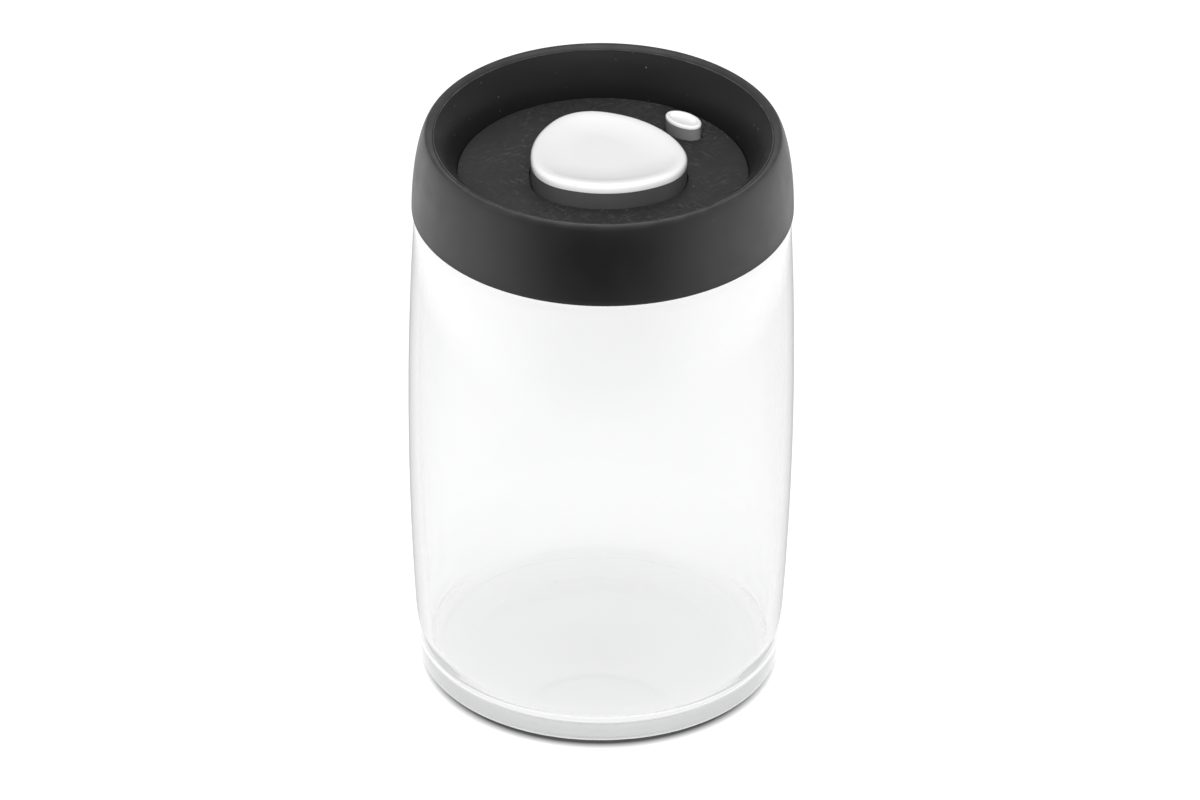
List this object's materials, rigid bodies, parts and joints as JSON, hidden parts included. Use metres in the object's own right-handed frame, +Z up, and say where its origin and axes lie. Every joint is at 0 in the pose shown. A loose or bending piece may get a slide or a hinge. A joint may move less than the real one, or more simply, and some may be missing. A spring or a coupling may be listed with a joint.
{
  "type": "vacuum seal canister",
  "caption": "Clear glass food canister with a dark recessed lid that holds a press pump button and a small vacuum release button.",
  "frame": {"origin": "centre of the jar's base, on the surface it stands on", "axes": "+Z up the jar's axis, -Y towards the front of the lid, with the release button at the rear right (+X, +Y)"},
  "size_m": [0.1164, 0.1164, 0.1825],
  "materials": {
    "jar_glass": "clear, fire-polished",
    "collar_plastic": "charcoal, satin",
    "bowl_plastic": "charcoal, satin",
    "plate_plastic": "charcoal, fine matte texture",
    "base_plastic": "natural white, smooth",
    "white_plastic": "white, glossy",
    "grey_plastic": "mid grey, satin",
    "piston_plastic": "natural white",
    "silicone": "translucent white silicone",
    "black_rubber": "black, matte",
    "felt": "off-white felt",
    "spring_steel": "drawn wire",
    "screw_steel": "zinc plated"
  },
  "bodies": {
    "jar": {"jar": "jar_glass"},
    "lid": {"outer_collar": "collar_plastic", "recess_bowl": "bowl_plastic", "top_plate": "plate_plastic", "lid_base": "base_plastic", "rim_gasket": "silicone", "pump_cylinder": "base_plastic", "cylinder_o_ring": "black_rubber", "inlet_valve": "silicone", "filter_pad": "felt", "filter_cover": "base_plastic", "pump_spring": "spring_steel", "release_spring": "spring_steel"},
    "pump_button": {"button_cap": "white_plastic", "button_skirt": "grey_plastic", "piston": "piston_plastic", "piston_seal": "black_rubber", "exhaust_valve": "silicone", "piston_screw": "screw_steel"},
    "release_button": {"release_cap": "white_plastic", "release_stem": "grey_plastic", "release_plug": "silicone"}
  },
  "joints": [
    {"name": "lid_lift", "type": "slide", "parent": "jar", "child": "lid", "axis": [0, 0, 1], "range_m": [0, 0.06]},
    {"name": "pump_press", "type": "slide", "parent": "lid", "child": "pump_button", "axis": [0, 0, -1], "range_m": [0, 0.007], "stiffness_N_per_m": 1200, "springref_m": -0.003, "deforming": ["pump_spring"]},
    {"name": "release_press", "type": "slide", "parent": "lid", "child": "release_button", "axis": [0, 0, -1], "range_m": [0, 0.0025], "stiffness_N_per_m": 900, "springref_m": -0.0015, "deforming": ["release_spring"]}
  ]
}
